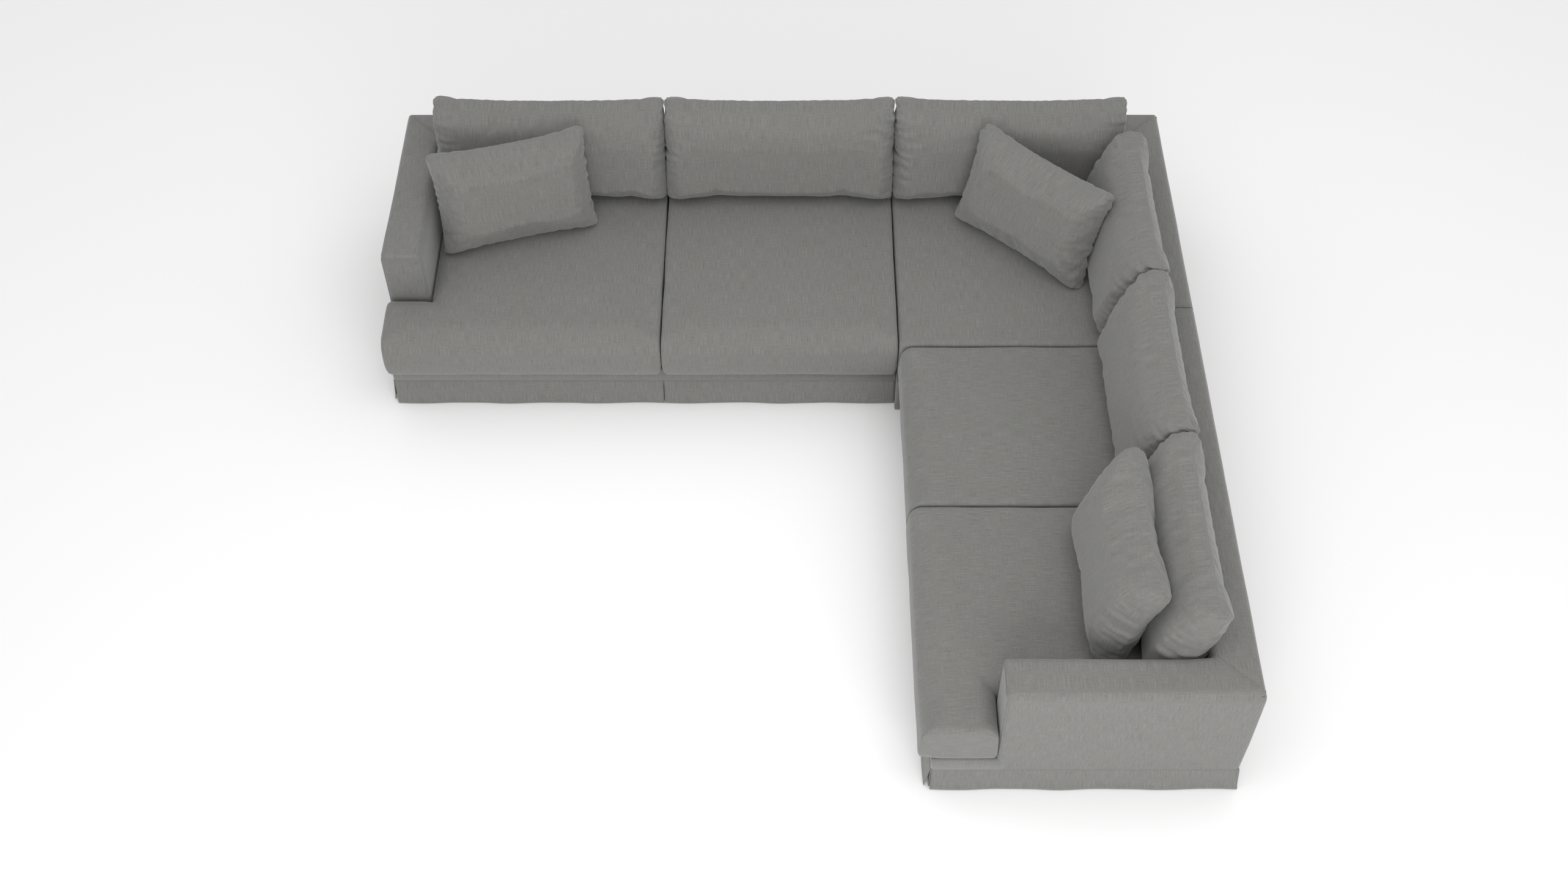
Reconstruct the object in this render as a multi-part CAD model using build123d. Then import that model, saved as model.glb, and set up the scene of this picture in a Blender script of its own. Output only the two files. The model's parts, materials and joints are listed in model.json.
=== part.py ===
from build123d import *
from math import atan2, cos, degrees, radians, sin
import os

os.makedirs("parts", exist_ok=True)

# Corner sofa with a loose cover: a two-seat module with an arm at the left, a square corner
# module, and a narrower two-seat module with an arm that runs forward from the corner.
# Millimetres, Z up, origin on the floor at the middle of the plan, the long run along X,
# sitters on the long run facing -Y.

# Plan
left_seat_width = 985  # one seat of the long run
right_seat_width = 820  # one seat of the short run
base_depth = 1115  # rear face to front band
cushion_overhang = 55  # seat cushions stand proud of the front band
frame_width = 160  # arms and backs, over the cover
arm_length = 880  # rear face to arm front
module_gap = 4  # between the covers of two hooked modules

# Heights
foot_height = 85
skirt_seam = 145
deck_top = 200
frame_top = 620

# Cover, padding and timber
cover = 3
padding = 20
cover_corner = 10  # upright edges of the arms and backs
cover_edge = 24  # top edges of the arms and backs
deck_quilt = 11
band_edge = 10
board = 25
post = 40
rail = 30
inner_rail = 45
strap_width = 60
strap_pitch = 118
strap = 2
foot_size = 64
foot_taper = 4  # degrees

# Skirt
skirt_flare = 14
skirt_wave = 4  # depth of the soft folds at the hem
skirt_fold = 190  # length of one fold
hem_clearance = 8
skirt_slit = 6
pleat_flap = 110
pleat_cloth = 2

# Hooks that hold the modules together, under the base rails
hook_width = 40
hook_thickness = 5
hook_length = 150
hook_reach = 62
hook_inset = 260  # from the rear face and from the front band
keeper_wall = 3
keeper_length = 56
hook_clearance = 0.5

# Seat cushions
seat_height = 228
seat_border = 150  # top of the side panel
seat_shoulder = 38  # height of the roll below and above the side panel
seat_foot_inset = 12  # lower roll
seat_roll_inset = 30  # upper roll
seat_top_inset = 78  # where the crown's slope starts to flatten
seat_top_drop = 16  # the crown's rise over that line
seat_rear_inset = 45
seat_corner = 60
seat_draw = 10  # sides drawn in between the corners
crown_corner = 8
notch_corner = 12  # inside corner of the ear, by the arm
ear_overhang = 10
seat_core_inset = 70
seat_core_lift = 25
cushion_gap = 3
rest_gap = 0.4

# Back cushions
back_height = 448
back_front = 122  # seam to the fullest point in front
back_rear = 62
back_front_roll = 12  # insets of the levels from the seam to the front
back_front_shoulder = 50
back_front_crown = 120
back_rear_roll = 14  # and from the seam to the rear
back_rear_crown = 50
back_lean = 12  # degrees
back_corner = 60
back_draw = 12
back_core_inset = 42
back_core_slope = 28
corner_back_setback = 25  # from the side back's cover
side_back_setback = 360  # far end of the side back cushion, from the rear face

# Throw pillows
pillow_width = 668
pillow_height = 450
pillow_half = 95
pillow_shoulder = 42
pillow_crown = 120
pillow_point = 18
pillow_draw = 22
pillow_core_inset = 60
pillow_core_slope = 60
left_pillow_turn = 16  # degrees, the arm end turned forward
left_pillow_lean = 18
right_pillow_turn = 0
right_pillow_lean = 16
left_pillow_offset = 415  # middle of the lower seam, from the arm's inner face
right_pillow_offset = 415
corner_pillow_turn = -43
corner_pillow_lean = 19
pillow_setback = 720  # in front of the rear face, before a pillow slides back
corner_pillow_setback = 790  # in front of both rear faces

# Sizes that follow
corner_size = base_depth + cushion_overhang
left_length = frame_width + 2 * left_seat_width
right_length = frame_width + 2 * right_seat_width
body_width = left_length + corner_size
body_depth = right_length + corner_size
strap_top = deck_top - deck_quilt
long_rail_top = strap_top - strap
cross_rail_top = long_rail_top - strap
timber_inset = cover + padding
timber_top = frame_top - timber_inset
seat_top = deck_top + rest_gap + seat_height
ear_depth = corner_size - arm_length - cushion_gap
seat_crown_inset = ear_depth * 2 / 3  # the ear's crown runs along a ridge
ear_crown_inset = ear_depth / 5
x_left = -body_width / 2
x_right = body_width / 2
y_rear = body_depth / 2
y_near = -body_depth / 2


def on_left(piece):
    """Long run: the module frame starts at the sofa's rear left corner."""
    return Pos(x_left, y_rear, 0) * piece


def on_right(piece):
    """Short run: the same module frame, swapped end for side at the near right corner."""
    return Pos(x_right, y_near, 0) * mirror(piece, about=Plane((0, 0, 0), z_dir=(1, -1, 0)))


def on_corner(piece):
    """Corner: the module frame mirrored at the rear right corner."""
    return Pos(x_right, y_rear, 0) * mirror(piece, about=Plane.YZ)


def save(name, pieces):
    export_step(Compound(children=[solid for piece in pieces for solid in piece.solids()]),
                f"parts/{name}.step")


def bar(x0, x1, y0, y1, z0, z1):
    """A straight timber or strip between two opposite corners."""
    return Pos(x0, y0, z0) * Box(x1 - x0, y1 - y0, z1 - z0, align=Align.MIN)


# Cushion forms


def inset_points(points, insets):
    """A right-angled outline with each side moved in by its own inset."""
    moved = []
    for i, point in enumerate(points):
        before = (Vector(*point) - Vector(*points[i - 1])).normalized()
        after = (Vector(*points[(i + 1) % len(points)]) - Vector(*point)).normalized()
        moved.append(Vector(*point) + before.rotate(Axis.Z, 90) * insets[i - 1]
                     + after.rotate(Axis.Z, 90) * insets[i])
    return moved


def outline(points, insets, corner, draws, height):
    """One level of a cushion: rounded corners joined by sides that are drawn in."""
    moved = inset_points(points, insets)
    rounds = []
    for i, point in enumerate(moved):
        back = (moved[i - 1] - point).normalized()
        ahead = (moved[(i + 1) % len(moved)] - point).normalized()
        convex = ahead.cross(back).Z > 0
        radius = max(corner - min(insets[i - 1], insets[i]), crown_corner) if convex else notch_corner
        sides = [(moved[i - 1] - point).length, (moved[(i + 1) % len(moved)] - point).length]
        radius = min(radius, 0.45 * min(sides))
        middle = point + (back + ahead) * radius * (1 - 0.5 ** 0.5)
        rounds.append((point + back * radius, middle, point + ahead * radius))
    edges = []
    for i, (start, middle, end) in enumerate(rounds):
        edges.append(ThreePointArc(start, middle, end))
        following = rounds[(i + 1) % len(rounds)][0]
        inward = (following - end).normalized().rotate(Axis.Z, 90)
        if draws[i]:
            edges.append(ThreePointArc(end, (end + following) / 2 + inward * draws[i], following))
        else:
            edges.append(Line(end, following))
    return Pos(0, 0, height) * make_face(edges)


def seat_core(points, grow):
    """The foam of a seat cushion, grown for the pocket that holds it."""
    corners = inset_points(points, [seat_core_inset - grow] * len(points))
    slab = extrude(make_face(Polyline(corners, close=True)), seat_border - seat_core_lift + 2 * grow)
    return Pos(0, 0, seat_core_lift - grow) * slab


def seat_cushion(points, rear_sides=(), ear_rear=None):
    """A seat cushion's cover and core, resting on the deck. Its crown reaches back under the
    back cushions and comes down over the other sides."""
    levels = [(0, seat_foot_inset), (seat_shoulder, 0), (seat_border, 0),
              (seat_border + seat_shoulder, seat_roll_inset),
              (seat_height - seat_top_drop, seat_top_inset), (seat_height, seat_crown_inset)]
    draws = [0 if i in rear_sides or i == ear_rear else seat_draw for i in range(len(points))]
    faces = []
    for height, inset in levels:
        insets = [inset] * len(points)
        for i in rear_sides:
            insets[i] = min(inset, seat_rear_inset)
        if ear_rear is not None:
            insets[ear_rear] = min(inset, ear_crown_inset)
        faces.append(outline(points, insets, seat_corner, draws, height))
    shell = loft(faces, ruled=True) - seat_core(points, rest_gap)
    lift = Pos(0, 0, deck_top + rest_gap)
    return lift * shell, lift * seat_core(points, 0)


def leaning(x, away, height, yaw, lean):
    """A plane at a distance in front of the rear face that leans back, turned by yaw about Z."""
    facing = Vector(0, -cos(radians(lean)), sin(radians(lean))).rotate(Axis.Z, yaw)
    return Plane((x, -away, height), x_dir=Vector(1, 0, 0).rotate(Axis.Z, yaw), z_dir=facing)


def filling(width, height, inset, slope, front, rear, grow):
    """A cushion's filling, fullest at the seam and sloping in to its front and rear faces, grown for
    the pocket that holds it."""
    seam = Pos(0, height / 2) * Rectangle(width - 2 * (inset - grow), height - 2 * (inset - grow))
    halves = [extrude(seam, amount, taper=degrees(atan2(slope, abs(amount))))
              for amount in (front + grow, -rear - grow)]
    return halves[0] + halves[1]


def stuffed(width, height, corner, draw, levels, fill):
    """A stuffed cushion's cover and filling, standing on a straight lower edge."""
    half = width / 2
    points = [(-half, 0), (half, 0), (half, height), (-half, height)]
    draws = [0, draw, draw, draw]
    faces = [outline(points, [inset] * 4, corner, draws, level) for level, inset in levels]
    shell = loft(faces, ruled=True) - filling(width, height, *fill, rest_gap)
    return shell, filling(width, height, *fill, 0)


def back_cushion(x0, x1):
    """A back cushion between x0 and x1: it stands on the seat and leans on the back's top edge."""
    levels = [(-back_rear, back_rear_crown), (-back_rear * 0.65, back_rear_roll), (0, 0),
              (back_front * 0.57, back_front_roll), (back_front * 0.86, back_front_shoulder),
              (back_front, back_front_crown)]
    fill = (back_core_inset, back_core_slope, back_front * 0.75, back_rear * 0.6)
    lean = radians(back_lean)
    lowest = min(inset * cos(lean) + level * sin(lean) for level, inset in levels)
    foot = seat_top + rest_gap - lowest
    reach = cover_edge + back_rear + rest_gap - (foot - frame_top + cover_edge) * sin(lean)
    away = frame_width - cover_edge + reach / cos(lean)
    place = leaning((x0 + x1) / 2, away, foot, 0, back_lean)
    shell, core = stuffed(x1 - x0, back_height, back_corner, back_draw, levels, fill)
    return place * shell, place * core


def pillow(x, away, yaw, lean):
    """A throw pillow with its lower seam on the seat."""
    levels = [(-pillow_half, pillow_crown), (-pillow_half * 0.7, pillow_shoulder), (0, 0),
              (pillow_half * 0.7, pillow_shoulder), (pillow_half, pillow_crown)]
    fill = (pillow_core_inset, pillow_core_slope, pillow_half * 0.55, pillow_half * 0.55)
    slope = radians(lean)
    lowest = min(inset * cos(slope) + level * sin(slope) for level, inset in levels)
    place = leaning(x, away, seat_top + rest_gap - lowest, yaw, lean)
    shell, core = stuffed(pillow_width, pillow_height, pillow_point, pillow_draw, levels, fill)
    return place * shell, place * core


def slide_back(pillow_pieces, supports, turn):
    """Slides a pillow level towards the cushions behind it until it leans on one of them."""
    shell, core = pillow_pieces
    back = Vector(0, 1, 0).rotate(Axis.Z, turn)
    for _ in range(6):
        gap = min(shell.distance_to(support) for support in supports) - rest_gap
        shell, core = Pos(back * gap) * shell, Pos(back * gap) * core
    return shell, core


# Frame with its cover


def ell(long, short, inset):
    """Plan of a back along +X and an arm or second back along -Y, each side moved in by inset."""
    points = [(0, 0), (0, -short), (frame_width, -short), (frame_width, -frame_width),
              (long, -frame_width), (long, 0)]
    return make_face(Polyline(inset_points(points, [inset] * 6), close=True))


def upholstered(long, short, inset, short_joined):
    """The soft outer form of an arm and back, with its upright and top edges rounded. An end that
    meets the next module is square."""
    spare = cover_corner + cover_edge
    run = ell(long + spare, short + spare * short_joined, inset)
    block = Pos(0, 0, skirt_seam) * extrude(run, frame_top - inset - skirt_seam)
    inside_corner = (frame_width, -frame_width, (skirt_seam + frame_top) / 2)
    uprights = block.edges().filter_by(Axis.Z).sort_by_distance(inside_corner)[1:]
    block = fillet(uprights, cover_corner - inset)
    block = fillet(block.edges().group_by(Axis.Z)[-1], cover_edge - inset)
    return block & bar(0, long - inset, inset * short_joined - short, 0, skirt_seam, frame_top)


def frame_covers(long, short, short_joined):
    """Two cover pieces sewn together on a mitre, and the padding under them. Below the deck only
    the outer walls go on, down to the skirt."""
    inside = upholstered(long, short, cover, short_joined)
    below_deck = bar(cover, long, -short, -cover, skirt_seam, deck_top)
    sewn = upholstered(long, short, 0, short_joined) - inside - below_deck
    timber_room = extrude(ell(long, short, timber_inset), timber_top)
    pad = inside - timber_room - bar(0, long, -short, 0, 0, deck_top)
    side = extrude(make_face(Polyline([(0, 0), (0, -short), (short, -short)], close=True)), frame_top)
    return sewn & side, sewn - side, pad


def upper_frame(long, short):
    """Boards and posts inside the arm and back, standing on the base rails."""
    inner = frame_width - timber_inset
    pieces = []
    for low, high in ((long_rail_top, long_rail_top + board), (timber_top - board, timber_top)):
        pieces.append(bar(timber_inset, long - timber_inset, -inner, -timber_inset, low, high))
    for low, high in ((cross_rail_top, cross_rail_top + board), (timber_top - board, timber_top)):
        pieces.append(bar(timber_inset, inner, timber_inset - short, -inner, low, high))
    low, high = long_rail_top + board, timber_top - board
    for x in (timber_inset, (long - post) / 2, long - timber_inset - post):
        pieces.append(bar(x, x + post, -inner, -timber_inset, low, high))
    front = timber_inset - short
    pieces.append(bar(timber_inset, inner, front, front + post, cross_rail_top + board, high))
    return pieces


def straps(x0, x1, y0, y1):
    """Elastic webbing: a lower layer along X, and an upper layer along Y that crosses it."""
    along = int((y1 - y0 - 2 * inner_rail) // strap_pitch)
    across = int((x1 - x0 - 2 * inner_rail) // strap_pitch)
    pieces = []
    for i in range(along):
        y = (y0 + y1) / 2 + (i - (along - 1) / 2) * strap_pitch
        pieces.append(bar(x0, x1, y - strap_width / 2, y + strap_width / 2, cross_rail_top, long_rail_top))
    for i in range(across):
        x = (x0 + x1) / 2 + (i - (across - 1) / 2) * strap_pitch
        pieces.append(bar(x - strap_width / 2, x + strap_width / 2, y0, y1, long_rail_top, strap_top))
    return pieces


def feet(places):
    """Short tapered blocks under the rails."""
    foot = extrude(Rectangle(foot_size, foot_size), -foot_height, taper=foot_taper)
    return [Pos(x, y, foot_height) * foot for x, y in places]


def skirt_panel(length):
    """A hanging panel from x 0 to length with its sewn face at y 0. It flares towards -Y and its
    hem swings in and out in soft folds."""
    folds = max(2, round(length / skirt_fold))
    knots = [length * i / folds for i in range(folds + 1)]
    hem_out = -skirt_flare

    def strip(face, wave):
        front, rear = [], []
        for i, (a, b) in enumerate(zip(knots, knots[1:])):
            swing = wave * (-1) ** i
            for edges, y in ((front, face), (rear, face + cover)):
                if wave:
                    edges.append(ThreePointArc((a, y), ((a + b) / 2, y - swing), (b, y)))
                else:
                    edges.append(Line((a, y), (b, y)))
        ends = [Line((0, face), (0, face + cover)), Line((length, face), (length, face + cover))]
        return make_face(front + rear + ends)

    return loft([Pos(0, 0, skirt_seam) * strip(0, 0), Pos(0, 0, hem_clearance) * strip(hem_out, skirt_wave)],
                ruled=True)


def corner_flap():
    """Cloth behind the open corner of the skirt, tacked under the rails."""
    plan = [(cover, -base_depth + cover), (cover + pleat_flap, -base_depth + cover),
            (cover + pleat_flap, -base_depth + cover + pleat_cloth),
            (cover + pleat_cloth, -base_depth + cover + pleat_cloth),
            (cover + pleat_cloth, -base_depth + cover + pleat_flap), (cover, -base_depth + cover + pleat_flap)]
    face = make_face(Polyline(plan, close=True))
    return Pos(0, 0, hem_clearance) * extrude(face, foot_height - hem_clearance)


def nib_cloth():
    """Flat cloth round the corner module's inside corner, which stands proud of both front bands."""
    nib = corner_size - module_gap / 2
    block = bar(base_depth, nib, -nib, -base_depth, hem_clearance, strap_top)
    return block - bar(base_depth, nib - cover, cover - nib, -base_depth, hem_clearance, strap_top)


def facing_side(panel):
    """Turns a panel that faces the front to face -X, running back from the front corner."""
    return mirror(panel, about=Plane((0, 0, 0), z_dir=(1, -1, 0)))


def facing_rear(panel):
    """Turns a panel that faces the front to face the rear."""
    return mirror(panel, about=Plane.XZ)


def hook():
    """Steel tongue along +X from the rail that carries it, with a pointed nose."""
    half = hook_width / 2
    nose = hook_reach - half / 2
    tail = hook_reach - hook_length
    plan = [(tail, -half), (nose, -half), (hook_reach, -half / 2), (hook_reach, half / 2), (nose, half),
            (tail, half)]
    tongue = extrude(make_face(Polyline(plan, close=True)), -hook_thickness)
    relief = bar(0, hook_reach, -half, half, -hook_clearance, 0)
    return Pos(0, 0, foot_height) * (tongue - relief)


def keeper():
    """Steel channel under the corner module's rail that takes a tongue coming along +X."""
    wide = hook_width / 2 + hook_clearance
    deep = hook_thickness + hook_clearance
    channel = bar(0, keeper_length, -wide - keeper_wall, wide + keeper_wall, -deep - keeper_wall, 0)
    return Pos(0, 0, foot_height) * (channel - bar(0, keeper_length, -wide, wide, -deep, 0))


hook_lines = (-hook_inset, hook_inset - base_depth)


def two_seat_module(side, place, seat_width, length, pillow_offset, turn, lean):
    """An arm, a back, two seats, their cushions and a pillow by the arm, with the arm at x 0 and
    the rear face at y 0."""
    end = length - module_gap / 2
    middle = frame_width + seat_width
    front = -base_depth
    outer = rail + cover
    web = frame_width - inner_rail / 2 + cover
    seat_edge = frame_width + cushion_gap

    arm_cover, back_cover, pad = frame_covers(end, arm_length, False)
    save(f"{side}_arm_cover", [place(arm_cover)])
    save(f"{side}_back_cover", [place(back_cover)])
    save(f"{side}_padding", [place(pad)])
    save(f"{side}_upper_frame", [place(piece) for piece in upper_frame(end, arm_length)])

    inner = frame_width + cover - inner_rail
    rails = [
        bar(cover, outer, front + cover, -cover, foot_height, cross_rail_top),
        bar(inner, inner + inner_rail, front + outer, -outer, foot_height, cross_rail_top),
        bar(middle - rail / 2, middle + rail / 2, front + outer, -inner - inner_rail, foot_height,
            cross_rail_top),
        bar(end - outer, end - cover, front + outer, -outer, foot_height, cross_rail_top),
        bar(outer, end - cover, front + cover, front + outer, foot_height, long_rail_top),
        bar(outer, end - cover, -outer, -cover, foot_height, long_rail_top),
        bar(inner + inner_rail, end - outer, -inner - inner_rail, -inner, foot_height, long_rail_top),
    ]
    save(f"{side}_rails", [place(piece) for piece in rails])
    save(f"{side}_webbing", [place(piece) for piece in straps(web, end - cover, front + cover, -web)])

    tray = bar(0, end, front, -arm_length, skirt_seam, deck_top)
    edges = tray.edges().filter_by(Axis.X).group_by(Axis.Z)[-1].sort_by(Axis.Y)[:1]
    edges += tray.edges().filter_by(Axis.Y).group_by(Axis.Z)[-1].sort_by(Axis.X)[:1]
    tray = fillet(edges, band_edge)
    tray -= bar(cover, end, front + cover, -arm_length, skirt_seam, strap_top)
    tuck = frame_width - padding
    deck = tray + bar(tuck, end, -arm_length, -tuck, strap_top, deck_top)
    save(f"{side}_deck", [place(deck)])

    foot_in = cover + pleat_cloth + foot_size / 2
    foot_rows = (-foot_in, front + foot_in)
    save(f"{side}_feet", [place(piece) for piece in feet(
        [(x, y) for x in (foot_in, middle, end - foot_in) for y in foot_rows])])

    half_panel = middle - skirt_slit / 2 - skirt_slit
    panels = [
        Pos(skirt_slit, front, 0) * skirt_panel(half_panel),
        Pos(middle + skirt_slit / 2, front, 0) * skirt_panel(end - middle - skirt_slit / 2),
        Pos(0, front + skirt_slit, 0) * facing_side(skirt_panel(base_depth - skirt_slit - cover)),
        Pos(cover, 0, 0) * facing_rear(skirt_panel(end - cover)),
        corner_flap(),
    ]
    save(f"{side}_skirt", [place(piece) for piece in panels])
    save(f"{side}_hooks", [place(Pos(end - cover, y, 0) * hook()) for y in hook_lines])

    ear = [(-ear_overhang, -corner_size), (middle - cushion_gap / 2, -corner_size),
           (middle - cushion_gap / 2, -seat_edge), (seat_edge, -seat_edge),
           (seat_edge, -arm_length - cushion_gap), (-ear_overhang, -arm_length - cushion_gap)]
    plain = [(middle + cushion_gap / 2, -corner_size), (length - cushion_gap / 2, -corner_size),
             (length - cushion_gap / 2, -seat_edge), (middle + cushion_gap / 2, -seat_edge)]
    cushions = {
        "seat_end": seat_cushion(ear, rear_sides=(2,), ear_rear=4),
        "seat_mid": seat_cushion(plain, rear_sides=(2,)),
        "back_end": back_cushion(seat_edge, middle - cushion_gap / 2),
        "back_mid": back_cushion(middle + cushion_gap / 2, length - cushion_gap / 2),
    }
    thrown = pillow(frame_width + pillow_offset, pillow_setback, turn, lean)
    cushions["pillow"] = slide_back(thrown, [cushions["back_end"][0], cushions["back_mid"][0]], turn)
    for name, (shell, core) in cushions.items():
        save(f"{side}_{name}_cover", [place(shell)])
        save(f"{side}_{name}_core", [place(core)])


two_seat_module("left", on_left, left_seat_width, left_length,
                left_pillow_offset, left_pillow_turn, left_pillow_lean)
two_seat_module("right", on_right, right_seat_width, right_length,
                right_pillow_offset, right_pillow_turn, right_pillow_lean)

# Corner module, with its outer corner at x 0, y 0 and its open sides at corner_size
end = corner_size - module_gap / 2
outer = rail + cover
inner = frame_width + cover - inner_rail
web = frame_width - inner_rail / 2 + cover

side_cover, rear_cover, pad = frame_covers(end, end, True)
save("corner_side_cover", [on_corner(side_cover)])
save("corner_rear_cover", [on_corner(rear_cover)])
save("corner_padding", [on_corner(pad)])
save("corner_upper_frame", [on_corner(piece) for piece in upper_frame(end, end)])
corner_rails = [
    bar(cover, outer, cover - end, -cover, foot_height, cross_rail_top),
    bar(inner, inner + inner_rail, cover - end, -outer, foot_height, cross_rail_top),
    bar(end - outer, end - cover, outer - end, -outer, foot_height, cross_rail_top),
    bar(inner + inner_rail, end - cover, cover - end, outer - end, foot_height, long_rail_top),
    bar(outer, end - cover, -outer, -cover, foot_height, long_rail_top),
    bar(inner + inner_rail, end - outer, -inner - inner_rail, -inner, foot_height, long_rail_top),
]
save("corner_rails", [on_corner(piece) for piece in corner_rails])
save("corner_webbing", [on_corner(piece) for piece in straps(web, end - cover, cover - end, -web)])
tuck = frame_width - padding
save("corner_deck", [on_corner(bar(tuck, end, -end, -tuck, strap_top, deck_top))])
foot_in = cover + pleat_cloth + foot_size / 2
save("corner_feet", [on_corner(piece) for piece in feet(
    [(x, y) for x in (foot_in, end - foot_in) for y in (-foot_in, foot_in - end)])])
save("corner_skirt", [on_corner(piece) for piece in (
    Pos(cover, 0, 0) * facing_rear(skirt_panel(end - cover)),
    Pos(0, -end, 0) * facing_side(skirt_panel(end - cover)),
    nib_cloth())])
rear_keepers = [Pos(end - cover, y, 0) * mirror(keeper(), about=Plane.YZ) for y in hook_lines]
side_keepers = [mirror(piece, about=Plane((0, 0, 0), z_dir=(1, 1, 0))) for piece in rear_keepers]
save("corner_keepers", [on_corner(piece) for piece in rear_keepers + side_keepers])

# Corner cushions: the seat fills the square, one back cushion fills the rear side, the other starts
# in front of it, and a pillow stands across the inside corner
near, far = corner_size - cushion_gap / 2, frame_width + cushion_gap
corner_seat = seat_cushion([(far, -near), (near, -near), (near, -far), (far, -far)], rear_sides=(2, 3))
rear_back = back_cushion(left_length + cushion_gap / 2, body_width - frame_width - corner_back_setback)
side_back = back_cushion(right_length + cushion_gap / 2, body_depth - side_back_setback)
corner_cushions = {
    "corner_seat": [on_corner(piece) for piece in corner_seat],
    "corner_back_rear": [on_left(piece) for piece in rear_back],
    "corner_back_side": [on_right(piece) for piece in side_back],
}
thrown = pillow(body_width - corner_pillow_setback, corner_pillow_setback, corner_pillow_turn,
                corner_pillow_lean)
corner_cushions["corner_pillow"] = slide_back(
    [on_left(piece) for piece in thrown],
    [corner_cushions["corner_back_rear"][0], corner_cushions["corner_back_side"][0]],
    corner_pillow_turn)
for name, (shell, core) in corner_cushions.items():
    save(f"{name}_cover", [shell])
    save(f"{name}_core", [core])
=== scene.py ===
# Looks of a corner sofa with a loose linen cover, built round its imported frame.
# Metres, Z up, in the frame of the part.
import json
import math

import bmesh
import bpy
import numpy as np
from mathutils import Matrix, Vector, noise
from mathutils.bvhtree import BVHTree


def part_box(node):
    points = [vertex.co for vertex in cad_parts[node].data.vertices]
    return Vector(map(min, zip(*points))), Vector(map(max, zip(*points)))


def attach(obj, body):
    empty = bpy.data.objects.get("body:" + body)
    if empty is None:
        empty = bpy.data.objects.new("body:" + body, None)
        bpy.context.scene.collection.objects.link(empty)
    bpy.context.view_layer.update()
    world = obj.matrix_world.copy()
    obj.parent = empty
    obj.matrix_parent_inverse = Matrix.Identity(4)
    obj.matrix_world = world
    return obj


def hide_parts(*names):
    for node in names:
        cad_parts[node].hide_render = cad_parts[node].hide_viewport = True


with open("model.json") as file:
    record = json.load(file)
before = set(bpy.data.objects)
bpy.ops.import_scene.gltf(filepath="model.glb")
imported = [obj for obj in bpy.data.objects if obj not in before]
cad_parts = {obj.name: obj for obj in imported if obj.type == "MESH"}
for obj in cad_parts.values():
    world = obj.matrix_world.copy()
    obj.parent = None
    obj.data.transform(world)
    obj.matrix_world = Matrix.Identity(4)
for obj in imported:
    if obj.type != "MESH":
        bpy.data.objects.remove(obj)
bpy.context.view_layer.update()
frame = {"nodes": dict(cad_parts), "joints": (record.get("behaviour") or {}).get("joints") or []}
scene = bpy.context.scene

# Directions
SOUTH, NORTH = (0, -1, 0), (0, 1, 0)
WEST, EAST = (-1, 0, 0), (1, 0, 0)
UP, DOWN = (0, 0, 1), (0, 0, -1)

# Camera, from the photograph's vanishing points
CAMERA_PLACE = (0.0066, -4.719, 6.019)
CAMERA_PITCH = 51.19  # degrees below the horizon, looking along +Y
CAMERA_LENS = 42.07  # mm
CAMERA_SENSOR = 36  # mm wide

# Floor and light
FLOOR_HALF = 30
FLOOR_GLOW = 0.03  # added to the floor where the camera sees it
SKY = 0.80  # strength of the world's light
SKY_SEEN = 0.20  # added where the camera, a reflection or glass sees it
LAMPS = [  # name, place, target, size and power
    ("overhead", (0.2, -1.2, 5.2), (0.2, 0.0, 0.0), (5.0, 4.0), 75),
    ("near_side", (1.0, -6.5, 3.2), (0.8, -0.8, 0.3), (4.5, 2.5), 168),
]

# Linen
WEAVE = "Weave"  # the layer of cloth coordinates, in metres
LINEN_THREAD = 0.0011  # from thread to thread
LINING_THREAD = 0.0007
THREAD_RUN = 15  # over how many threads one keeps its tone
YARN = (480, 15)  # thick yarns for each metre across and along them
FLECKS = (300, 120)

# Cushion cloth
CLOTH_PITCH = 0.010  # spacing of the woven mesh
CLOTH = {"quality": 4, "mass": 0.25, "tension_stiffness": 25, "compression_stiffness": 25,
         "shear_stiffness": 8, "bending_stiffness": 0.6, "use_pressure": True, "uniform_pressure_force": 3.0}
SIM_FRAMES = 14
SIM_CAP = 0.020  # the furthest that stuffing pushes the cloth
REAR_WEAVE = 5.0  # shift of the rear panel's weave
BROAD_SWELL = (0.0, 0.0022, 0.17)  # mean, height and wavelength of a cushion's unevenness
FINE_SWELL = (0.0, 0.0007, 0.06)
FOLD_ROOM = 0.008  # how far folds may stand out in front of the CAD solid
NEIGHBOUR_GAP = 0.003  # between a seat cushion and the arm beside it
WALL_ROLL = 0.012  # the tight turn of cloth at a seam
WALL_POWER = 2.4
STEP_REACH = 0.05  # the least distance from a seam that has its own steps
STEP_SAMPLES = 200

# Each side of a cushion: the share of the height that stands upright at the seam, then the length and
# fullness of the roll above it
SEAT_SIDES = {"front": (0.16, 0.125, 2.1), "side": (0.87, 0.020, 2.0), "rear": (0.60, 0.045, 2.0),
              "notch": (0.58, 0.075, 2.0)}
SEAT_WALL = {"front": 0.012, "side": 0.004, "rear": 0.012, "notch": 0.012}  # the turn of cloth at a seam
SEAT_PINCH = 0.45  # share of the front roll's length that is left at a side seam
PINCH_REACH = 0.14
SEAT_SEAM = {"front": 0.085, "side": 0.038}  # above the deck
SEAT_CROWN = 0.014
CROWN_REACH = {"front": 0.34, "side": 0.34, "rear": 0.16, "notch": 0.16}
SEAM_CLIMB = 0.09  # over which a side seam climbs to the front one
SEAT_FOOT = (0.034, 2.0)  # length and fullness of the roll below the seam
SEAT_CORNER = 0.014
SEAT_FILL = 0.9
CREASE_DEPTH = 0.013  # of the crease that runs from an arm's front corner into the seat
CREASE_WIDTH = 0.014
CREASE_LENGTH = 0.12
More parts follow.
